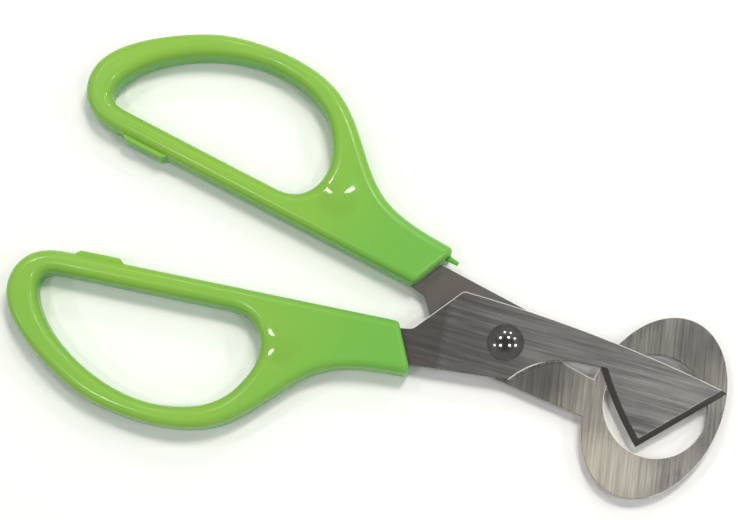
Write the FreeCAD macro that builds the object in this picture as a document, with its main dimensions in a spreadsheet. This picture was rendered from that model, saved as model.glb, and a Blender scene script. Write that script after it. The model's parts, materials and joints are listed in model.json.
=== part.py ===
import FreeCAD, Part
import math
import os
import Sketcher

# Quail egg scissors lying flat: two stamped steel plates on one rivet, each with a moulded finger loop.
# Each half is drawn closed, with the pivot axis at x = 0, y = 0 and the table at z = 0.
# The ring half's handle lies on the +y side, and the whole tool points along +x.

SIZES = [
    ("rest_turn", 8.0, "degrees each half is turned from closed at rest"),
    ("closing_line", 0.6, "y of the line on which the handles meet"),
    ("handle_thick", 8.0, "moulded handle, floor to top"),
    ("handle_gap", 0.9, "straight inner edge of a handle to the closing line"),
    ("bar_width", 4.35, "straight inner bar of the finger loop"),
    ("outer_round", 1.8, "rounding along the outer edges of the handle"),
    ("loop_round", 2.0, "rounding along the edges of the finger hole"),
    ("end_round", 1.1, "rounding of the handle's end face"),
    ("land_width", 0.5, "flat left between the two roundings"),
    ("end_low_x", -21.4, "handle's end face at the straight inner edge"),
    ("end_high_x", -16.9, "handle's end face at the outer edge"),
    ("end_high_y", 10.95, "from the closing line"),
    ("pad_start", -76.6, "closing pad, end nearer the pivot"),
    ("pad_end", -86.4, "closing pad, far end"),
    ("pad_ramp", 1.0, "length of the slope at each end of the pad"),
    ("pad_bury", 1.0, "pad's root inside the bar"),
    ("pad_inset", 1.3, "pad's floor and top, in from the handle's"),
    ("pad_round", 0.4, ""),
    ("heel_start_x", -88.5, "outer edge leaves the straight inner edge"),
    ("heel_low_x", -95.2, ""),
    ("heel_back_x", -100.2, ""),
    ("heel_back_y", 8.6, ""),
    ("heel_high_x", -95.1, ""),
    ("heel_high_y", 17.9, ""),
    ("crown_back_x", -83.3, ""),
    ("crown_back_y", 26.2, ""),
    ("crown_mid_x", -73.7, ""),
    ("crown_mid_y", 30.3, ""),
    ("crown_front_x", -50.4, ""),
    ("crown_front_y", 31.6, ""),
    ("waist_back_x", -37.7, ""),
    ("waist_back_y", 12.7, ""),
    ("waist_front_x", -27.1, ""),
    ("waist_front_y", 11.0, ""),
    ("loop_front_x", -45.7, "front of the finger hole"),
    ("loop_front_y", 12.4, ""),
    ("loop_front_ease", 3.3, "hole's front, control points behind its foremost one"),
    ("loop_high_ease", 2.6, ""),
    ("loop_high_rise", 6.0, ""),
    ("loop_low_ease", 8.8, "hole's front to its straight side"),
    ("front_bar_x", 2.7, "offsets of the hole's points from the outline's points"),
    ("front_bar_y", 6.5, ""),
    ("mid_bar_x", 6.7, ""),
    ("mid_bar_y", 2.5, ""),
    ("back_bar_x", 1.9, ""),
    ("back_bar_y", 3.8, ""),
    ("heel_bar_x", 2.9, ""),
    ("heel_bar_y", 4.8, ""),
    ("heel_bar", 6.6, ""),
    ("sheet_thick", 1.2, "both steel plates"),
    ("plate_gap", 0.05, "running gap between the plates, and under the rivet head"),
    ("tang_tip_x", -38.0, "end of the steel inside the handle"),
    ("tang_tip_low", 3.9, "from the pivot line"),
    ("tang_tip_high", 9.2, "from the pivot line"),
    ("tang_hole_x", -31.0, "hole that the handle's plastic runs through"),
    ("tang_hole_y", 6.2, ""),
    ("tang_hole_r", 1.5, ""),
    ("shoulder_x", -18.4, "inner shoulder, where the steel leaves the handle"),
    ("shoulder_y", 1.0, ""),
    ("shoulder_round", 2.0, ""),
    ("hip_x", -10.0, "widest point of the shank"),
    ("hip_y", 8.3, ""),
    ("hip_round", 1.2, ""),
    ("shank_x", -18.0, "shank's outer edge at the handle"),
    ("shank_y", 8.1, ""),
    ("relief_x", 1.9, "start of the relief arc past the rivet"),
    ("relief_y", 7.1, ""),
    ("relief_end_x", 14.5, "where the relief arc runs out along the neck"),
    ("ring_relief_drop", 0.25, "taper of the ring plate's shank from the handle to the relief arc"),
    ("ring_x", 31.6, "centre of the oval ring"),
    ("ring_y", 2.35, ""),
    ("ring_half_length", 18.95, "across the tool"),
    ("ring_half_width", 13.0, "along the tool"),
    ("egg_hole_x", 31.6, "centre of the egg hole"),
    ("egg_hole_y", 2.65, ""),
    ("egg_hole_r", 10.2, ""),
    ("ring_neck_x", 21.0, "neck's end, inside the ring's band"),
    ("ring_neck_low", -5.7, "lower edge of the neck at the ring"),
    ("ring_neck_high", 1.7, "upper edge of the neck at the ring"),
    ("ring_edge_x", 3.0, "lower edge of the shank under the rivet"),
    ("ring_edge_y", -7.05, ""),
    ("blade_neck_y", -0.9, "lower edge of the blade's neck"),
    ("blade_neck_x", 19.3, "corner where the neck meets the ground edge"),
    ("neck_corner_round", 0.8, ""),
    ("blade_apex_x", 28.75, "low point of the blade"),
    ("blade_apex_y", -14.8, ""),
    ("blade_tip_x", 44.4, "point of the blade"),
    ("blade_tip_y", -0.9, ""),
    ("blade_back_bend", 300.0, "radius of the blade's long back edge"),
    ("blade_side_bend", 70.0, "radius of the ground edge that faces the handles"),
    ("bevel_width", 1.1, "ground bevel, seen from above"),
    ("bevel_land", 0.1, "steel left under the bevel"),
    ("rivet_r", 2.2, "rivet body"),
    ("rivet_fit", 0.02, "radial gap in the ring plate, where the rivet is set"),
    ("pivot_clear", 0.05, "radial running gap in the blade"),
    ("rivet_head_r", 3.6, ""),
    ("rivet_rim", 0.35, "straight side of the head"),
    ("rivet_dome", 1.35, "rise of the head above its rim"),
    ("rivet_tail_r", 3.1, ""),
    ("rivet_tail_thick", 0.9, "upset tail under the ring plate"),
    ("rivet_tail_round", 0.5, ""),
]

PLACES = [
    ("bar_low_y", "=Sizes.handle_gap + Sizes.bar_width", "near side of the finger hole"),
    ("round_room", "=Sizes.bar_width - Sizes.outer_round - Sizes.land_width", "left for the hole's round"),
    ("loop_round_used", "=min(Sizes.loop_round; round_room)", ""),
    ("pad_start_top", "=Sizes.pad_start - Sizes.pad_ramp", ""),
    ("pad_end_top", "=Sizes.pad_end + Sizes.pad_ramp", ""),
    ("pad_root_y", "=Sizes.handle_gap + Sizes.pad_bury", ""),
    ("pad_height", "=Sizes.handle_thick - 2 * Sizes.pad_inset", ""),
    ("pad_top_z", "=Sizes.handle_thick - Sizes.pad_inset", ""),
    ("loop_start_x", "=Sizes.loop_front_x - Sizes.loop_low_ease", "finger hole's straight side begins"),
    ("loop_low_x", "=Sizes.loop_front_x - Sizes.loop_front_ease", ""),
    ("loop_high_x", "=Sizes.loop_front_x - Sizes.loop_high_ease", ""),
    ("loop_high_y", "=Sizes.loop_front_y + Sizes.loop_high_rise", ""),
    ("loop_crown_front_x", "=Sizes.crown_front_x - Sizes.front_bar_x", ""),
    ("loop_crown_front_y", "=Sizes.crown_front_y - Sizes.front_bar_y", ""),
    ("loop_crown_mid_x", "=Sizes.crown_mid_x + Sizes.mid_bar_x", ""),
    ("loop_crown_mid_y", "=Sizes.crown_mid_y - Sizes.mid_bar_y", ""),
    ("loop_crown_back_x", "=Sizes.crown_back_x + Sizes.back_bar_x", ""),
    ("loop_crown_back_y", "=Sizes.crown_back_y - Sizes.back_bar_y", ""),
    ("loop_heel_high_x", "=Sizes.heel_high_x + Sizes.heel_bar_x", ""),
    ("loop_heel_high_y", "=Sizes.heel_high_y - Sizes.heel_bar_y", ""),
    ("loop_heel_x", "=Sizes.heel_back_x + Sizes.heel_bar", ""),
    ("loop_end_x", "=Sizes.heel_start_x", "finger hole's straight side ends"),
    ("ring_top_z", "=Sizes.handle_thick / 2 - Sizes.plate_gap / 2", ""),
    ("ring_low_z", "=ring_top_z - Sizes.sheet_thick", ""),
    ("blade_low_z", "=Sizes.handle_thick / 2 + Sizes.plate_gap / 2", ""),
    ("blade_top_z", "=blade_low_z + Sizes.sheet_thick", ""),
    ("head_z", "=blade_top_z + Sizes.plate_gap", "underside of the rivet head"),
    ("bevel_depth", "=Sizes.sheet_thick - Sizes.bevel_land", ""),
    ("zero", "=0", ""),
    ("ring_relief_y", "=Sizes.shank_y - Sizes.ring_relief_drop", ""),
    ("set_hole_r", "=Sizes.rivet_r + Sizes.rivet_fit", ""),
    ("pivot_hole_r", "=Sizes.rivet_r + Sizes.pivot_clear", ""),
    ("tail_low_z", "=ring_low_z - Sizes.rivet_tail_thick", ""),
    ("tail_round_z", "=tail_low_z + Sizes.rivet_tail_round", ""),
    ("rivet_tail_flat", "=Sizes.rivet_tail_r - Sizes.rivet_tail_round", ""),
    ("rim_z", "=head_z + Sizes.rivet_rim", ""),
    ("crown_z", "=rim_z + Sizes.rivet_dome", ""),
    ("dome_r", "=(Sizes.rivet_head_r ^ 2 + Sizes.rivet_dome ^ 2) / (2 * Sizes.rivet_dome)", ""),
]

doc = FreeCAD.newDocument("EggScissors")


def fill_sheet(name, rows):
    sheet = doc.addObject("Spreadsheet::Sheet", name)
    for row, (alias, content, note) in enumerate(rows, 1):
        sheet.set(f"A{row}", alias)
        sheet.set(f"B{row}", str(content))
        sheet.setAlias(f"B{row}", alias)
        sheet.set(f"C{row}", note)
    doc.recompute()
    return sheet


sizes = fill_sheet("Sizes", SIZES)
places = fill_sheet("Places", PLACES)
SIZE_NAMES = {row[0] for row in SIZES}


def number(alias):
    sheet = sizes if alias in SIZE_NAMES else places
    return float(sheet.get(alias))


def cell(alias):
    return f"{'Sizes' if alias in SIZE_NAMES else 'Places'}.{alias}"


def plane(body, role):
    return next(item for item in body.Origin.OriginFeatures if item.Role == role)


def new_body(name):
    body = doc.addObject("PartDesign::Body", name)
    body.Label = name
    return body


def new_sketch(body, name, height=None, role="XY_Plane"):
    sketch = body.newObject("Sketcher::SketchObject", name)
    sketch.AttachmentSupport = [(plane(body, role), "")]
    sketch.MapMode = "FlatFace"
    if height:
        sketch.setExpression("AttachmentOffset.Base.z", cell(height))
    return sketch


def bind(sketch, constraint, expression):
    index = sketch.addConstraint(constraint)
    sketch.setExpression(f"Constraints[{index}]", expression)


def pin_point(sketch, geo, end, point):
    """Tie one point of a sketch to a pair of cells; a leading minus turns the sign."""
    for kind, name in zip(("DistanceX", "DistanceY"), point):
        sign = "-" if name.startswith("-") else ""
        alias = name.lstrip("-")
        bind(sketch, Sketcher.Constraint(kind, -1, 1, geo, end, signed(name)), sign + cell(alias))


def signed(name):
    return -number(name[1:]) if name.startswith("-") else number(name)


def vector(point):
    return FreeCAD.Vector(signed(point[0]), signed(point[1]), 0)


def add_line(sketch, start, end):
    """A straight edge; its first point is tied to the cells of start."""
    line = sketch.addGeometry(Part.LineSegment(vector(start), vector(end)))
    pin_point(sketch, line, 1, start)
    return line, 1, 2


def add_arc(sketch, start, end, radius, left):
    """An arc of a given radius; left says on which side of the walk its centre lies."""
    a, b = vector(start), vector(end)
    chord = b - a
    rise = math.sqrt(number(radius) ** 2 - chord.Length ** 2 / 4)
    side = FreeCAD.Vector(-chord.y, chord.x, 0).normalize() * (rise if left else -rise)
    centre = a + chord * 0.5 + side
    angles = [math.atan2(p.y - centre.y, p.x - centre.x) for p in ((a, b) if left else (b, a))]
    circle = Part.Circle(centre, FreeCAD.Vector(0, 0, 1), number(radius))
    arc = sketch.addGeometry(Part.ArcOfCircle(circle, *angles))
    first, last = (1, 2) if left else (2, 1)
    pin_point(sketch, arc, first, start)
    bind(sketch, Sketcher.Constraint("Radius", arc, number(radius)), cell(radius))
    return arc, first, last


def add_level_arc(sketch, start, end, level):
    """An arc that runs level, along x, at the one of its two ends that level names."""
    a, b, flat = vector(start), vector(end), vector(level)
    other = a if level == end else b
    drop = other.y - flat.y
    radius = ((other.x - flat.x) ** 2 + drop ** 2) / (2 * abs(drop))
    centre = FreeCAD.Vector(flat.x, flat.y + math.copysign(radius, drop), 0)
    left = (b - a).cross(centre - a).z > 0
    angles = [math.atan2(p.y - centre.y, p.x - centre.x) for p in ((a, b) if left else (b, a))]
    circle = Part.Circle(centre, FreeCAD.Vector(0, 0, 1), radius)
    arc = sketch.addGeometry(Part.ArcOfCircle(circle, *angles))
    first, last = (1, 2) if left else (2, 1)
    pin_point(sketch, arc, first, start)
    bind(sketch, Sketcher.Constraint("DistanceX", -1, 1, arc, 3, flat.x), cell(level[0]))
    return arc, first, last


def add_curve(sketch, points):
    """A smooth free curve steered by control points that are tied to cells."""
    poles = [vector(point) for point in points]
    marks = [sketch.addGeometry(Part.Circle(p, FreeCAD.Vector(0, 0, 1), 1.0), True) for p in poles]
    sketch.addConstraint(Sketcher.Constraint("Weight", marks[0], 1.0))
    for mark in marks[1:]:
        sketch.addConstraint(Sketcher.Constraint("Equal", marks[0], mark))
    curve = sketch.addGeometry(Part.BSplineCurve(poles, None, None, False, 3, None, False))
    for index, mark in enumerate(marks):
        align = "InternalAlignment:Sketcher::BSplineControlPoint"
        sketch.addConstraint(Sketcher.Constraint(align, mark, 3, curve, index))
    for mark, point in zip(marks[:-1], points[:-1]):
        pin_point(sketch, mark, 3, point)
    return curve, 1, 2


def close_loop(sketch, edges):
    for (edge, _, end), (following, start, _) in zip(edges, edges[1:] + edges[:1]):
        sketch.addConstraint(Sketcher.Constraint("Coincident", edge, end, following, start))
    doc.recompute()


def pad_sketch(body, sketch, name, length):
    pad = body.newObject("PartDesign::Pad", name)
    pad.Profile = sketch
    pad.setExpression("Length", cell(length))
    doc.recompute()
    return pad


def cut_sketch(body, sketch, name, length=None):
    """Cut along the sketch's normal: all the way through, or to a named depth."""
    before = body.Shape.Volume
    pocket = body.newObject("PartDesign::Pocket", name)
    pocket.Profile = sketch
    pocket.Reversed = True
    if length:
        pocket.setExpression("Length", cell(length))
    else:
        pocket.Type = 1
    doc.recompute()
    if body.Shape.Volume >= before - 1e-3:
        raise RuntimeError(f"{name} cut nothing")
    return pocket


def round_edges(body, name, edges, radius):
    base = body.Tip
    fillet = body.newObject("PartDesign::Fillet", name)
    fillet.Base = (base, edges)
    fillet.setExpression("Radius", cell(radius))
    doc.recompute()
    return fillet


def edge_names(shape, test):
    return [f"Edge{index}" for index, edge in enumerate(shape.Edges, 1) if test(edge)]


def near(value, target):
    return abs(value - target) < 1e-4


def upright_at(point):
    """Test for a vertical edge that stands over one point of an outline."""
    spot = vector(point)

    def test(edge):
        ends = edge.Vertexes
        return len(ends) == 2 and all(near(v.X, spot.x) and near(v.Y, spot.y) for v in ends)
    return test


def add_circle(sketch, x, y, radius):
    circle = Part.Circle(vector((x, y)), FreeCAD.Vector(0, 0, 1), number(radius))
    geo = sketch.addGeometry(circle)
    pin_point(sketch, geo, 3, (x, y))
    bind(sketch, Sketcher.Constraint("Radius", geo, number(radius)), cell(radius))
    doc.recompute()


# Finger loop handles: one outline, mirrored about the closing line for the blade half.
OUTLINE = [
    ("heel_start_x", "handle_gap"), ("heel_low_x", "handle_gap"), ("heel_back_x", "heel_back_y"),
    ("heel_high_x", "heel_high_y"), ("crown_back_x", "crown_back_y"), ("crown_mid_x", "crown_mid_y"),
    ("crown_front_x", "crown_front_y"), ("waist_back_x", "waist_back_y"),
    ("waist_front_x", "waist_front_y"), ("end_high_x", "end_high_y"),
]
FINGER_HOLE = [
    ("loop_start_x", "bar_low_y"), ("loop_low_x", "bar_low_y"), ("loop_front_x", "loop_front_y"),
    ("loop_high_x", "loop_high_y"), ("loop_crown_front_x", "loop_crown_front_y"),
    ("loop_crown_mid_x", "loop_crown_mid_y"), ("loop_crown_back_x", "loop_crown_back_y"),
    ("loop_heel_high_x", "loop_heel_high_y"), ("loop_heel_x", "bar_low_y"), ("loop_end_x", "bar_low_y"),
]


def handle_sketch(body, name, mirrored, floor="zero", top="handle_thick"):
    """A sketch on the handle's floor, or turned over on its top for the blade half."""
    sketch = new_sketch(body, name)
    level = top if mirrored else floor
    if mirrored:
        turn = FreeCAD.Rotation(FreeCAD.Vector(1, 0, 0), 180)
        sketch.AttachmentOffset = FreeCAD.Placement(FreeCAD.Vector(), turn)
    sketch.setExpression("AttachmentOffset.Base.y", cell("closing_line"))
    sketch.setExpression("AttachmentOffset.Base.z", cell(level))
    return sketch


def make_handle(name, mirrored, tang_points, tang_hole, tang_z):
    body = new_body(name)
    sketch = handle_sketch(body, name + "_outline", mirrored)
    end_low = ("end_low_x", "handle_gap")
    close_loop(sketch, [
        add_line(sketch, OUTLINE[-1], end_low),
        add_line(sketch, end_low, OUTLINE[0]),
        add_curve(sketch, OUTLINE),
    ])
    pad_sketch(body, sketch, name + "_block", "handle_thick")

    end_middle = (number("end_low_x") + number("end_high_x")) / 2
    thick = number("handle_thick")

    def on_rim(edge):
        flat = all(near(v.Z, edge.Vertexes[0].Z) for v in edge.Vertexes)
        return flat and not near(edge.CenterOfMass.x, end_middle)
    round_edges(body, name + "_outer_round", edge_names(body.Shape, on_rim), "outer_round")

    hole = handle_sketch(body, name + "_hole", mirrored)
    close_loop(hole, [add_curve(hole, FINGER_HOLE), add_line(hole, FINGER_HOLE[-1], FINGER_HOLE[0])])
    cut_sketch(body, hole, name + "_finger_hole")

    def is_flat(face):
        return face.Surface.TypeId == "Part::GeomPlane" and abs(face.normalAt(0, 0).z) > 0.99
    hole_edges = [edge for face in body.Shape.Faces if is_flat(face)
                  for wire in face.Wires if not wire.isSame(face.OuterWire) for edge in wire.Edges]
    names = edge_names(body.Shape, lambda edge: any(edge.isSame(other) for other in hole_edges))
    round_edges(body, name + "_hole_round", names, "loop_round_used")

    def is_end(face):
        return face.Surface.TypeId == "Part::GeomPlane" and near(face.CenterOfMass.z, thick / 2) \
            and near(face.CenterOfMass.x, end_middle)
    end_face = min(body.Shape.Faces, key=lambda face: 0 if is_end(face) else 1)
    names = edge_names(body.Shape, lambda edge: any(edge.isSame(other) for other in end_face.Edges))
    round_edges(body, name + "_end_round", names, "end_round")

    closing_pad = handle_sketch(body, name + "_pad_outline", mirrored, "pad_inset", "pad_top_z")
    walk = [("pad_start", "handle_gap"), ("pad_start_top", "zero"), ("pad_end_top", "zero"),
            ("pad_end", "handle_gap"), ("pad_end", "pad_root_y"), ("pad_start", "pad_root_y")]
    close_loop(closing_pad, [add_line(closing_pad, a, b) for a, b in zip(walk, walk[1:] + walk[:1])])
    pad_sketch(body, closing_pad, name + "_closing_pad", "pad_height")
    line_y = number("closing_line")
    names = edge_names(body.Shape, lambda edge: all(near(v.Y, line_y) for v in edge.Vertexes))
    round_edges(body, name + "_pad_round", names, "pad_round")

    slot = new_sketch(body, name + "_tang_slot", tang_z)
    close_loop(slot, [add_line(slot, a, b) for a, b in zip(tang_points, tang_points[1:] + tang_points[:1])])
    add_circle(slot, *tang_hole, "tang_hole_r")
    cut_sketch(body, slot, name + "_tang_space", "sheet_thick")
    return body


def tang_outline(sign):
    """The steel inside a handle, closed off past the handle's end face."""
    return [
        ("tang_tip_x", sign + "tang_tip_low"), ("shoulder_x", sign + "shoulder_y"),
        ("hip_x", sign + "shoulder_y"), ("hip_x", sign + "shank_y"), ("shank_x", sign + "shank_y"),
        ("tang_tip_x", sign + "tang_tip_high"),
    ]


# Ring plate: the lower sheet, an oval ring on a necked shank.
def make_ring_plate():
    body = new_body("ring_plate")
    oval = new_sketch(body, "ring_plate_oval", "ring_low_z")
    centre = vector(("ring_x", "ring_y"))
    far = centre + FreeCAD.Vector(0, number("ring_half_length"), 0)
    side = centre + FreeCAD.Vector(number("ring_half_width"), 0, 0)
    ellipse = oval.addGeometry(Part.Ellipse(far, side, centre))
    oval.exposeInternalGeometry(ellipse)
    long_axis, short_axis = ellipse + 1, ellipse + 2
    pin_point(oval, ellipse, 3, ("ring_x", "ring_y"))
    oval.addConstraint(Sketcher.Constraint("Vertical", long_axis))
    length = 2 * number("ring_half_length")
    bind(oval, Sketcher.Constraint("Distance", long_axis, length), "2 * " + cell("ring_half_length"))
    width = 2 * number("ring_half_width")
    bind(oval, Sketcher.Constraint("Distance", short_axis, width), "2 * " + cell("ring_half_width"))
    doc.recompute()
    pad_sketch(body, oval, "ring_plate_ring", "sheet_thick")

    shank = new_sketch(body, "ring_plate_shank", "ring_low_z")
    corners = [
        ("tang_tip_x", "tang_tip_low"), ("shoulder_x", "shoulder_y"), ("hip_x", "-hip_y"),
        ("ring_edge_x", "ring_edge_y"), ("ring_neck_x", "ring_neck_low"), ("ring_neck_x", "ring_neck_high"),
    ]
    relief_end, relief = ("relief_end_x", "ring_neck_high"), ("relief_x", "ring_relief_y")
    edges = [add_line(shank, a, b) for a, b in zip(corners, corners[1:] + [relief_end])]
    edges.append(add_level_arc(shank, relief_end, relief, relief_end))
    tail = [relief, ("shank_x", "shank_y"), ("tang_tip_x", "tang_tip_high"), corners[0]]
    edges += [add_line(shank, a, b) for a, b in zip(tail, tail[1:])]
    close_loop(shank, edges)
    pad_sketch(body, shank, "ring_plate_body", "sheet_thick")

    holes = new_sketch(body, "ring_plate_holes", "ring_low_z")
    add_circle(holes, "egg_hole_x", "egg_hole_y", "egg_hole_r")
    add_circle(holes, "zero", "zero", "set_hole_r")
    add_circle(holes, "tang_hole_x", "tang_hole_y", "tang_hole_r")
    cut_sketch(body, holes, "ring_plate_openings")
    shape = body.Shape
    round_edges(body, "ring_plate_hip", edge_names(shape, upright_at(("hip_x", "-hip_y"))), "hip_round")
    shoulder = edge_names(body.Shape, upright_at(("shoulder_x", "shoulder_y")))
    round_edges(body, "ring_plate_shoulder", shoulder, "shoulder_round")
    return body


# Cutting blade: the upper sheet, necked past the rivet, with two ground edges.
def make_blade():
    body = new_body("cutting_blade")
    sketch = new_sketch(body, "cutting_blade_outline", "blade_low_z")
    apex, tip = ("blade_apex_x", "blade_apex_y"), ("blade_tip_x", "blade_tip_y")
    neck, hip = ("blade_neck_x", "blade_neck_y"), ("hip_x", "hip_y")
    relief_end, relief = ("relief_end_x", "blade_neck_y"), ("relief_x", "-relief_y")
    shank, shoulder = ("shank_x", "-shank_y"), ("shoulder_x", "-shoulder_y")
    tip_low, tip_high = ("tang_tip_x", "-tang_tip_high"), ("tang_tip_x", "-tang_tip_low")
    edges = [
        add_line(sketch, apex, tip),
        add_arc(sketch, tip, hip, "blade_back_bend", True),
        add_line(sketch, hip, shoulder),
        add_line(sketch, shoulder, tip_high),
        add_line(sketch, tip_high, tip_low),
        add_line(sketch, tip_low, shank),
        add_line(sketch, shank, relief),
        add_level_arc(sketch, relief, relief_end, relief_end),
        add_line(sketch, relief_end, neck),
        add_arc(sketch, neck, apex, "blade_side_bend", True),
    ]
    close_loop(sketch, edges)
    pad_sketch(body, sketch, "cutting_blade_sheet", "sheet_thick")

    holes = new_sketch(body, "cutting_blade_holes", "blade_low_z")
    add_circle(holes, "zero", "zero", "pivot_hole_r")
    add_circle(holes, "tang_hole_x", "-tang_hole_y", "tang_hole_r")
    cut_sketch(body, holes, "cutting_blade_openings")

    top, low_point = number("blade_top_z"), vector(apex)

    def is_ground(edge):
        level = all(near(v.Z, top) for v in edge.Vertexes)
        return level and any(near(v.X, low_point.x) and near(v.Y, low_point.y) for v in edge.Vertexes)
    base = body.Tip
    bevel = body.newObject("PartDesign::Chamfer", "cutting_blade_bevel")
    bevel.Base = (base, edge_names(body.Shape, is_ground))
    bevel.ChamferType = "Two distances"
    bevel.setExpression("Size", cell("bevel_width"))
    bevel.setExpression("Size2", cell("bevel_depth"))
    doc.recompute()
    for point, name, radius in ((hip, "hip", "hip_round"), (shoulder, "shoulder", "shoulder_round")):
        round_edges(body, "cutting_blade_" + name, edge_names(body.Shape, upright_at(point)), radius)
    return body


# Pivot rivet: a polished domed head on the blade, its body through both plates, its tail upset below.
def make_rivet():
    body = new_body("pivot_rivet")
    sketch = new_sketch(body, "pivot_rivet_section", role="XZ_Plane")
    edges = [
        add_line(sketch, ("zero", "tail_low_z"), ("rivet_tail_flat", "tail_low_z")),
        add_arc(sketch, ("rivet_tail_flat", "tail_low_z"), ("rivet_tail_r", "tail_round_z"),
                "rivet_tail_round", True),
        add_line(sketch, ("rivet_tail_r", "tail_round_z"), ("rivet_tail_r", "ring_low_z")),
        add_line(sketch, ("rivet_tail_r", "ring_low_z"), ("rivet_r", "ring_low_z")),
        add_line(sketch, ("rivet_r", "ring_low_z"), ("rivet_r", "head_z")),
        add_line(sketch, ("rivet_r", "head_z"), ("rivet_head_r", "head_z")),
        add_line(sketch, ("rivet_head_r", "head_z"), ("rivet_head_r", "rim_z")),
        add_arc(sketch, ("rivet_head_r", "rim_z"), ("zero", "crown_z"), "dome_r", True),
        add_line(sketch, ("zero", "crown_z"), ("zero", "tail_low_z")),
    ]
    close_loop(sketch, edges)
    turn = body.newObject("PartDesign::Revolution", "pivot_rivet_turned")
    turn.Profile = sketch
    turn.ReferenceAxis = (sketch, ["V_Axis"])
    turn.Angle = 360.0
    doc.recompute()
    return body


ring_tang, blade_tang = tang_outline(""), tang_outline("-")
ring_half = [
    make_ring_plate(),
    make_handle("ring_handle", False, ring_tang, ("tang_hole_x", "tang_hole_y"), "ring_low_z"),
    make_rivet(),
]
blade_half = [
    make_blade(),
    make_handle("blade_handle", True, blade_tang, ("tang_hole_x", "-tang_hole_y"), "blade_low_z"),
]

# At rest the halves stand open; the frame's origin is the middle of the whole tool's footprint.
turn_axis = FreeCAD.Vector(0, 0, 1)
for bodies, angle in ((ring_half, -number("rest_turn")), (blade_half, number("rest_turn"))):
    for body in bodies:
        body.Placement = FreeCAD.Placement(FreeCAD.Vector(), FreeCAD.Rotation(turn_axis, angle))
doc.recompute()
everything = ring_half + blade_half
footprint = FreeCAD.BoundBox()
for body in everything:
    footprint.add(body.Shape.optimalBoundingBox(False))
shift = FreeCAD.Vector(-footprint.Center.x, -footprint.Center.y, -footprint.ZMin)
for body in everything:
    body.Placement.Base = shift
doc.recompute()

for item in doc.Objects:
    if "Invalid" in item.State or "Error" in item.State:
        raise RuntimeError(f"{item.Name} failed: {item.State}")
for body in everything:
    shape = body.Shape
    if shape.isNull() or not shape.isValid() or len(shape.Solids) != 1:
        raise RuntimeError(f"{body.Label} is not one sound solid")

os.makedirs("parts", exist_ok=True)
for body in everything:
    body.Shape.exportStep(f"parts/{body.Label}.step")
    print(body.Label, "volume", round(body.Shape.Volume, 2))
print("pivot at", [round(value, 4) for value in shift], "box", [round(v, 3) for v in (
    footprint.XLength, footprint.YLength, footprint.ZLength)])
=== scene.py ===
import json
import math

import bmesh
import bpy
from mathutils import Matrix, Vector


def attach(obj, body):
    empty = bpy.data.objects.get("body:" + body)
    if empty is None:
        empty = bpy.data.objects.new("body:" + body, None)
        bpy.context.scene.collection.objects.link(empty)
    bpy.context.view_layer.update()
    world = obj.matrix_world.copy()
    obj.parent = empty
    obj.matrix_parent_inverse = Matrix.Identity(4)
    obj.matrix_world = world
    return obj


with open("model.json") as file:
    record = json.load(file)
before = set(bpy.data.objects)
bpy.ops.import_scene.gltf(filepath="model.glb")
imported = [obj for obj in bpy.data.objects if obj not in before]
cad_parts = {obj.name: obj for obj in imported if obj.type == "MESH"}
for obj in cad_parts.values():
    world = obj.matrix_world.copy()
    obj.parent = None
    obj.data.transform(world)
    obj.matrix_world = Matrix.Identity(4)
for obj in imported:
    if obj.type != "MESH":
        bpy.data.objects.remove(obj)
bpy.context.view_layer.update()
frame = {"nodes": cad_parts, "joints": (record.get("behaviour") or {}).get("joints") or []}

scene = bpy.context.scene
nodes = frame["nodes"]
pivot = Vector(frame["joints"][0]["pos_m"])
mm = 0.001
halfTurn = math.radians(8)      # each half lies this far open at rest


class Wire:
    # one output socket, so that shader maths reads as arithmetic
    def __init__(self, finish, socket):
        self.finish = finish
        self.socket = socket

    def maths(self, operation, first, second):
        return self.finish.node("ShaderNodeMath", {"operation": operation}, {0: first, 1: second})

    def __add__(self, other):
        return self.maths("ADD", self, other)

    def __radd__(self, other):
        return self.maths("ADD", other, self)

    def __sub__(self, other):
        return self.maths("SUBTRACT", self, other)

    def __rsub__(self, other):
        return self.maths("SUBTRACT", other, self)

    def __mul__(self, other):
        return self.maths("MULTIPLY", self, other)

    def __rmul__(self, other):
        return self.maths("MULTIPLY", other, self)

    def __pow__(self, other):
        return self.maths("POWER", self, other)


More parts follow.
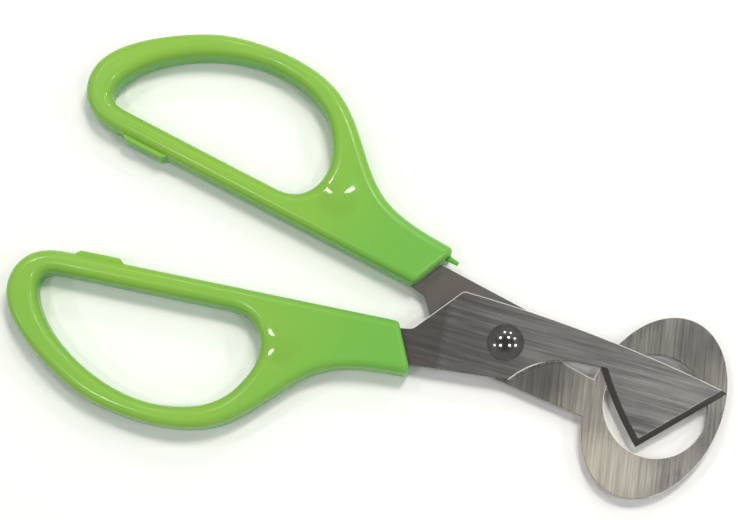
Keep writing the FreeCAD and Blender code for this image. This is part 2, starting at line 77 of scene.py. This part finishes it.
class Finish:
    # the nodes of one material, or of the world
    def __init__(self, owner):
        self.owner = owner
        owner.use_nodes = True
        self.tree = owner.node_tree
        self.tree.nodes.clear()

    def node(self, kind, settings=None, inputs=None, output=0):
        made = self.tree.nodes.new(kind)
        for key, value in (settings or {}).items():
            if key == "stops":
                self.setStops(made.color_ramp, value)
            else:
                setattr(made, key, value)
        for key, value in (inputs or {}).items():
            if isinstance(value, Wire):
                self.tree.links.new(value.socket, made.inputs[key])
            else:
                made.inputs[key].default_value = value
        return Wire(self, made.outputs[output])

    def setStops(self, ramp, stops):
        while len(ramp.elements) < len(stops):
            ramp.elements.new(0.5)
        for element, (position, grey) in zip(ramp.elements, stops):
            element.position = position
            element.color = (grey, grey, grey, 1.0)

    def place(self):
        return self.node("ShaderNodeTexCoord", output="Object")

    def turned(self, angle, scale=(1.0, 1.0, 1.0)):
        # object coordinates from the pivot, turned with one half of the tool, then stretched
        local = self.node("ShaderNodeMapping", {"vector_type": "TEXTURE"},
                          {"Vector": self.place(), "Location": pivot, "Rotation": (0, 0, angle)})
        return self.node("ShaderNodeVectorMath", {"operation": "MULTIPLY"}, {0: local, 1: scale})

    def axis(self, vector, index):
        return self.node("ShaderNodeSeparateXYZ", {}, {"Vector": vector}, output=index)

    def awayFrom(self, point, angle):
        # distance in the plane of the tool
        flat = self.turned(angle, (1.0, 1.0, 0.0))
        return self.node("ShaderNodeVectorMath", {"operation": "DISTANCE"},
                         {0: flat, 1: (*point, 0.0)}, output=1)

    def noise(self, vector, scale=1.0, detail=2.0, roughness=0.5):
        return self.node("ShaderNodeTexNoise", {}, {
            "Vector": vector, "Scale": scale, "Detail": detail, "Roughness": roughness})

    def between(self, value, low, high, fromValue=0.0, toValue=1.0):
        # a smooth step from one value to another
        return self.node("ShaderNodeMapRange", {"interpolation_type": "SMOOTHSTEP"}, {
            "Value": value, "From Min": low, "From Max": high,
            "To Min": fromValue, "To Max": toValue})

    def mix(self, factor, first, second):
        made = self.node("ShaderNodeMix", {"data_type": "RGBA"}, {0: factor}, output=2)
        for key, value in ((6, first), (7, second)):      # the colour sockets A and B
            target = made.socket.node.inputs[key]
            if isinstance(value, Wire):
                self.tree.links.new(value.socket, target)
            else:
                target.default_value = (*value, 1.0)
        return made

    def bump(self, height, strength, distance, normal=None):
        inputs = {"Height": height, "Strength": strength, "Distance": distance}
        if normal:
            inputs["Normal"] = normal
        return self.node("ShaderNodeBump", {}, inputs)

    def close(self, outputKind, shader):
        out = self.tree.nodes.new(outputKind)
        self.tree.links.new(shader.socket, out.inputs["Surface"])
        return self.owner

    def surface(self, inputs):
        shader = self.node("ShaderNodeBsdfPrincipled", {}, inputs)
        return self.close("ShaderNodeOutputMaterial", shader)


plasticLook = {
    "green": (0.225, 0.465, 0.068),
    "warmGreen": (0.25, 0.475, 0.062),
    "driftScale": 45.0,             # slow change from one green to the other
    "shadedDeepGreen": (0.165, 0.44, 0.07),
    "deepFrom": -52.0 * mm,         # painted shade: the web towards the steel is painted a deeper green
    "deepTo": -22.0 * mm,
    "shadedWallGreen": (0.095, 0.42, 0.03),
    "wallShadeShare": 0.9,
    "wallLow": 5.5 * mm,            # painted shade: the sides and low pads are painted a purer, darker green than the crest
    "wallHigh": 7.1 * mm,
    "roughness": 0.25,
    "driftRough": 0.06,
    "grainRough": 0.04,
    "shine": 0.28,
    "coat": 0.10,
    "coatRough": 0.02,
    "glow": 0.12,                   # light that spreads inside the plastic
    "ripple": (260.0, 0.06, 0.4 * mm),       # scale, strength, depth of the moulded skin's waves
    "grain": (2600.0, 0.03, 0.02 * mm),
    # a soft swelling of the skin beside each finger hole: place from the pivot, and turn
    "swellings": (((-42.4 * mm, 10.0 * mm), -halfTurn), ((-43.2 * mm, -9.4 * mm), halfTurn)),
    "swellReach": 5.0 * mm,
    "swellDepth": 0.6 * mm,
    "swellCore": 0.6,               # share of the reach that is rubbed smooth
    "swellCoat": 0.9,
    "swellSmooth": 0.17,
}


def makePlastic(look):
    made = Finish(bpy.data.materials.new("applePlastic"))
    place = made.place()
    drift = made.noise(place, look["driftScale"])
    rippleScale, rippleShare, rippleDepth = look["ripple"]
    grainScale, grainShare, grainDepth = look["grain"]
    grain = made.noise(place, grainScale, 1.0)

    colour = made.mix(made.between(drift, 0.35, 0.65), look["green"], look["warmGreen"])
    along = made.axis(made.turned(0.0), 0)
    deep = made.between(along, look["deepFrom"], look["deepTo"])
    # painted shade: a deeper green towards the steel
    colour = made.mix(deep, colour, look["shadedDeepGreen"])
    # painted shade: the lower part of the handle, its sides and pads, painted a darker, purer green
    wall = made.between(made.axis(place, 2), look["wallLow"], look["wallHigh"], 1.0, 0.0)
    colour = made.mix(look["wallShadeShare"] * wall, colour, look["shadedWallGreen"])

    skin = made.bump(made.noise(place, rippleScale), rippleShare, rippleDepth)
    skin = made.bump(grain, grainShare, grainDepth, skin)
    coat = look["coat"] * (1.0 - wall)
    rough = look["roughness"] + look["driftRough"] * (drift - 0.5) + look["grainRough"] * (grain - 0.5)
    reach = look["swellReach"]
    for centre, turn in look["swellings"]:
        away = made.awayFrom(centre, turn)
        skin = made.bump(made.between(away, 0.0, reach, 1.0, 0.0), 1.0, look["swellDepth"], skin)
        rubbed = made.between(away, look["swellCore"] * reach, reach, 1.0, 0.0)
        coat = coat + look["swellCoat"] * rubbed
        rough = rough - look["swellSmooth"] * rubbed
    return made.surface({
        "Base Color": colour,
        "Roughness": rough,
        "Normal": skin,
        "IOR": 1.49,
        "Specular IOR Level": look["shine"],
        "Coat Weight": coat,
        "Coat Roughness": look["coatRough"],
        "Subsurface Weight": look["glow"],
        "Subsurface Scale": 2.0 * mm,
        "Subsurface Radius": (0.6, 1.0, 0.25),
    })


# how both plates are brushed: stretch along the lines, across them and through the sheet
brushLook = {
    "coarse": (60.0, 2400.0, 400.0),
    "fine": (160.0, 7000.0, 900.0),
    "band": (25.0, 420.0, 90.0),
    "stain": (90.0, 90.0, 90.0),
    "coarseShare": 0.40,
    "fineShare": 0.38,
    "bandShare": 0.22,
    "streakFrom": 0.30,
    "streakTo": 0.70,
    "stainFrom": 0.45,
    "stainTo": 0.68,
    "depth": 0.02 * mm,
    "patchCore": 0.2,               # share of a patch's reach that it covers fully
    "patchPlain": 0.55,             # how much of a patch shows between the streaks
    "patchStray": 5.0 * mm,         # how far a patch's rim wanders
    "shankPlain": 0.88,
    "shankStray": 0.8 * mm,
    "coarseRough": 0.16,
    "shankRough": 0.10,
    "groundRough": 0.12,
}
# painted highlight and painted shade on the sheared rims: rims facing one way are painted bright and
# less metallic, the others dark
rimLook = {
    "towards": (0.789, 1.348, 0.0),
    "turnover": 0.8,
    # colour of the painted highlight
    "bright": (0.95, 0.93, 0.91),
    "highlightShare": 0.95,
    "sheenMatt": 0.85,
    "rimShadeShare": 0.6,
    "sideShadeShare": 0.55,
}
bladeLook = {
    "turn": halfTurn,
    "brush": math.radians(-4),      # lengthwise, along the blade's back
    "steel": (0.42, 0.40, 0.385),
    "bright": (0.66, 0.635, 0.61),
    "shank": (0.15, 0.14, 0.13),    # left as rolled, near the handle
    "shankEdge": -11.4 * mm,
    "shankFade": 1.6 * mm,
    # colour of the painted shade on sloped edges, sides and dark rims
    "ground": (0.14, 0.132, 0.12),
    "roughness": 0.21,
    "stain": 0.18,
    "relief": 0.22,
    "rim": 0.42 * mm,
    # painted light on the steel: bright patches are painted sheen, dark ones painted shade; place from
    # the pivot, reach, share, colour, sheen matt share
    "paintedReflections": (
        ((-8.0 * mm, -3.0 * mm), 9.0 * mm, 0.35, (0.27, 0.25, 0.24), 0.0),
        ((14.0 * mm, 4.0 * mm), 20.0 * mm, 0.40, (0.80, 0.77, 0.74), 0.03),
        ((34.0 * mm, -3.0 * mm), 14.0 * mm, 0.50, (0.85, 0.82, 0.79), 0.07),
    ),
}
ringLook = {
    "turn": -halfTurn,
    "brush": math.radians(110.5),   # across the tool
    "steel": (0.42, 0.405, 0.375),
    "bright": (0.72, 0.69, 0.60),
    "shank": (0.20, 0.185, 0.165),
    "shankEdge": 1.0 * mm,
    "shankFade": 0.8 * mm,
    # colour of the painted shade on sloped edges, sides and dark rims
    "ground": (0.07, 0.065, 0.058),
    "roughness": 0.23,
    "stain": 0.35,
    "relief": 0.22,
    "rim": 0.30 * mm,
    # painted sheen and painted shade on the ring plate: place from the pivot, reach, share, colour,
    # sheen matt share
    "paintedReflections": (
        ((28.0 * mm, -12.5 * mm), 13.0 * mm, 0.9, (0.98, 0.92, 0.76), 0.26),
        ((20.5 * mm, -3.0 * mm), 9.0 * mm, 0.70, (0.88, 0.82, 0.72), 0.12),
        ((45.0 * mm, 3.0 * mm), 8.0 * mm, 0.55, (0.26, 0.25, 0.23), 0.0),
        ((33.0 * mm, 17.0 * mm), 7.0 * mm, 0.5, (0.24, 0.23, 0.22), 0.0),
        ((8.0 * mm, -2.0 * mm), 9.0 * mm, 0.7, (0.26, 0.25, 0.235), 0.0),
    ),
}


def makeSteel(name, look, brush, rim):
    made = Finish(bpy.data.materials.new(name))
    along = look["turn"] + look["brush"]
    coarse = made.noise(made.turned(along, brush["coarse"]), 1.0, 3.0, 0.6)
    fine = made.noise(made.turned(along, brush["fine"]), 1.0, 2.0, 0.6)
    band = made.noise(made.turned(along, brush["band"]))
    stain = made.noise(made.turned(along, brush["stain"]), 1.0, 4.0, 0.55)
    lines = brush["coarseShare"] * coarse + brush["fineShare"] * fine + brush["bandShare"] * band
    streak = made.between(lines, brush["streakFrom"], brush["streakTo"])
    steel = made.mix(streak, look["steel"], look["bright"])
    dull = look["stain"] * made.between(stain, brush["stainFrom"], brush["stainTo"])
    steel = made.mix(dull, steel, look["shank"])

    metal = 1.0
    plain = brush["patchPlain"]
    # painted sheen and painted shade: each patch paints its colour and, for sheen, takes off some
    # metal
    for centre, reach, share, colour, sheenMatt in look["paintedReflections"]:
        away = made.awayFrom(centre, look["turn"]) + brush["patchStray"] * (stain - 0.5)
        paintedPatch = made.between(away, brush["patchCore"] * reach, reach, share, 0.0)
        paintedPatch = paintedPatch * (plain + (1.0 - plain) * streak)
        steel = made.mix(paintedPatch, steel, colour)
        metal = metal - sheenMatt * paintedPatch

    edge = made.axis(made.turned(look["turn"]), 0) + brush["shankStray"] * (stain - 0.5)
    rolled = made.between(edge, look["shankEdge"] - look["shankFade"],
                          look["shankEdge"] + look["shankFade"], 1.0, 0.0)
    plain = brush["shankPlain"]
    steel = made.mix(rolled * (plain + (1.0 - plain) * stain), steel, look["shank"])

    # how far a face looks up: 1 on the sheet, 0 on its sides, and between on the ground edges
    facing = made.axis(made.node("ShaderNodeNewGeometry", output="True Normal"), 2)
    slope = made.between(facing, 0.30, 0.45) * made.between(facing, 0.85, 0.95, 1.0, 0.0)
    side = made.between(facing, 0.20, 0.35, 1.0, 0.0) * made.between(facing, -0.35, -0.20)
    # painted shade: the sloped ground edges and the sheet's sides are painted dark by which way they
    # face
    steel = made.mix(slope, steel, look["ground"])
    steel = made.mix(rim["sideShadeShare"] * side, steel, look["ground"])

    rounded = made.node("ShaderNodeBevel", {"samples": 16}, {"Radius": look["rim"]})
    upright = made.axis(rounded, 2)
    # the top rims, where the painted highlight and painted shade go
    paintedRim = made.between(1.0 - upright, 0.015, 0.12) * made.between(facing, 0.90, 0.97)
    lean = (1.0 - upright * upright) ** 0.5
    carried = made.node("ShaderNodeVectorTransform", {
        "vector_type": "NORMAL", "convert_from": "WORLD", "convert_to": "OBJECT"},
        {"Vector": rounded})
    towards = made.node("ShaderNodeVectorMath", {"operation": "DOT_PRODUCT"},
                        {0: carried, 1: rim["towards"]}, output=1)
    # painted highlight on the rims that lean towards the light, painted shade on the rest
    lit = made.between(towards + rim["turnover"] * lean, 0.0, 0.10)
    steel = made.mix(rim["highlightShare"] * paintedRim * lit, steel, rim["bright"])
    steel = made.mix(rim["rimShadeShare"] * paintedRim * (1.0 - lit), steel, look["ground"])
    metal = metal - rim["sheenMatt"] * paintedRim * lit

    rough = look["roughness"] + brush["coarseRough"] * (coarse - 0.5)
    return made.surface({
        "Base Color": steel,
        "Metallic": metal,
        "Roughness": rough + brush["shankRough"] * rolled + brush["groundRough"] * slope,
        "Normal": made.bump(lines, look["relief"], brush["depth"]),
    })


rivetLook = {
    "steel": (0.25, 0.24, 0.23),
    "hazeDark": 0.8,                # how much darker the haze is
    "hazeScale": 600.0,
    "roughness": 0.12,
    "hazeRough": 0.05,
    "scuffTurn": 0.4,
    "scuff": (300.0, 4000.0, 300.0),
    "scuffShare": 0.05,
    "scuffDepth": 0.01 * mm,
}


def makeRivet(look):
    made = Finish(bpy.data.materials.new("polishedRivet"))
    haze = made.noise(made.place(), look["hazeScale"], 3.0)
    scuff = made.noise(made.turned(look["scuffTurn"], look["scuff"]))
    dark = tuple(look["hazeDark"] * part for part in look["steel"])
    return made.surface({
        "Base Color": made.mix(made.between(haze, 0.4, 0.7), look["steel"], dark),
        "Metallic": 1.0,
        "Roughness": look["roughness"] + look["hazeRough"] * made.between(haze, 0.45, 0.75),
        "Normal": made.bump(scuff, look["scuffShare"], look["scuffDepth"]),
    })


def dress(nodeName, material):
    mesh = nodes[nodeName].data
    if not mesh.materials:
        mesh.materials.append(material)
    for index in range(len(mesh.materials)):
        mesh.materials[index] = material


plastic = makePlastic(plasticLook)
dress("ring_handle", plastic)
dress("blade_handle", plastic)
dress("cutting_blade", makeSteel("bladeSteel", bladeLook, brushLook, rimLook))
dress("ring_plate", makeSteel("ringSteel", ringLook, brushLook, rimLook))
dress("pivot_rivet", makeRivet(rivetLook))
print("materials on", len(nodes), "nodes")

flashLook = {
    "root": (-18.0 * mm, 9.7 * mm),     # from the pivot, tool closed
    "height": 4.6 * mm,
    "length": 2.6 * mm,
    "width": 1.3 * mm,
    "thick": 0.8 * mm,
    "tip": 0.3,                         # tip's radius, as a share of the width
    "round": 0.05 * mm,
    "turn": math.radians(-3),
}


def meshObject(name, shape, material):
    mesh = bpy.data.meshes.new(name)
    shape.to_mesh(mesh)
    shape.free()
    mesh.materials.append(material)
    made = bpy.data.objects.new(name, mesh)
    scene.collection.objects.link(made)
    return made


def makeFlash(look, material):
    # a small sliver of plastic left at the corner of the handle's end
    width = look["width"]
    length = look["length"]
    shape = bmesh.new()
    bmesh.ops.create_cone(shape, cap_ends=True, cap_tris=False, segments=8,
                          radius1=0.5 * width, radius2=look["tip"] * width, depth=length)
    shortEdges = [edge for edge in shape.edges
                  if len(edge.link_faces) == 2 and edge.calc_length() < 0.5 * width]
    bmesh.ops.bevel(shape, geom=shortEdges, offset=look["round"], affect="EDGES", segments=2,
                    profile=0.5, material=-1)
    squeeze = Matrix.Diagonal((look["thick"] / width, 1.0, 1.0, 1.0))
    lay = Matrix.Rotation(math.radians(90), 4, "Y")
    out = Matrix.Translation((0.5 * length, 0.0, 0.0))
    turn = Matrix.Rotation(look["turn"], 4, "Z")
    root = Matrix.Translation((*look["root"], look["height"]))
    opened = Matrix.Rotation(-halfTurn, 4, "Z")
    toPivot = Matrix.Translation((pivot.x, pivot.y, 0.0))
    shape.transform(toPivot @ opened @ root @ turn @ out @ lay @ squeeze)
    bmesh.ops.recalc_face_normals(shape, faces=shape.faces)
    piece = meshObject("moulding_flash", shape, material)
    for face in piece.data.polygons:
        face.use_smooth = True
    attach(piece, "ring_half")


makeFlash(flashLook, plastic)
print("flash made")

floorLook = {"size": 6.0, "below": 0.02 * mm, "white": (0.92, 0.92, 0.915), "roughness": 0.7}


def makeFloor(look):
    shape = bmesh.new()
    bmesh.ops.create_grid(shape, x_segments=4, y_segments=4, size=0.5 * look["size"])
    bmesh.ops.translate(shape, verts=shape.verts, vec=(0, 0, -look["below"]))
    white = Finish(bpy.data.materials.new("whitePaper")).surface({
        "Base Color": (*look["white"], 1.0), "Roughness": look["roughness"]})
    paper = meshObject("paper", shape, white)


makeFloor(floorLook)

# how bright the room is, from the horizon up
roomLook = {"stops": ((0.0, 0.30), (0.35, 0.36), (0.72, 0.36), (0.93, 0.13))}
# one soft light makes the main shadow
boxLook = {"power": 2.1, "size": 0.13, "tint": (1.0, 0.97, 0.88), "place": (0.02, 0.24, 0.70)}
# rows of ceiling lamps: how far behind the tool, and each lamp's place across
lampLook = {
    "power": 0.66,
    "size": 0.08,
    "height": 0.75,
    "turn": math.radians(19.85),
    "rows": ((0.80, (-0.02, 0.42)), (0.34, (-0.28, 0.20, 0.66)), (-0.12, (-0.78, -0.28, 0.24, 0.72))),
}


def makeRoom(look):
    scene.world = bpy.data.worlds.new("softRoom")
    made = Finish(scene.world)
    up = made.axis(made.node("ShaderNodeTexCoord", output="Generated"), 2)
    grey = made.node("ShaderNodeValToRGB", {"stops": look["stops"]}, {"Fac": up})
    made.close("ShaderNodeOutputWorld", made.node("ShaderNodeBackground", {}, {"Color": grey}))


def makeLamp(name, power, size, place, target):
    light = bpy.data.lights.new(name, "AREA")
    light.shape = "DISK"
    light.energy = power
    light.size = size
    lamp = bpy.data.objects.new(name, light)
    lamp.location = place
    lamp.rotation_euler = (Vector(target) - Vector(place)).to_track_quat("-Z", "Y").to_euler()
    scene.collection.objects.link(lamp)
    return lamp


makeRoom(roomLook)
softbox = makeLamp("softbox", boxLook["power"], boxLook["size"], boxLook["place"], (0, 0, 0))
softbox.data.color = boxLook["tint"]
softbox.visible_glossy = False      # the steel doesn't mirror it
underLamps = Vector((pivot.x, pivot.y, 0))
lampTurn = Matrix.Rotation(lampLook["turn"], 4, "Z")
lampShifts = [(shift, back) for back, shifts in lampLook["rows"] for shift in shifts]
for number, (shift, back) in enumerate(lampShifts, 1):
    spot = lampTurn @ Vector((shift, back, lampLook["height"])) + underLamps
    makeLamp(f"ceilingLamp{number}", lampLook["power"], lampLook["size"], spot, underLamps)
print("lights", 1 + len(lampShifts))

cameraLook = {
    "place": (0.018745, -0.060349, 0.403773),
    "turn": (math.radians(10.0), 0.0, math.radians(19.85)),
    "lens": 100.0,
    "sensor": 36.0,
    "near": 10.0 * mm,
}
cameraData = bpy.data.cameras.new("camera")
cameraData.lens = cameraLook["lens"]
cameraData.sensor_width = cameraLook["sensor"]
cameraData.clip_start = cameraLook["near"]
camera = bpy.data.objects.new("camera", cameraData)
camera.location = cameraLook["place"]
camera.rotation_euler = cameraLook["turn"]
scene.collection.objects.link(camera)
scene.camera = camera
scene.view_settings.view_transform = "Standard"
scene.view_settings.look = "None"
print("camera set")
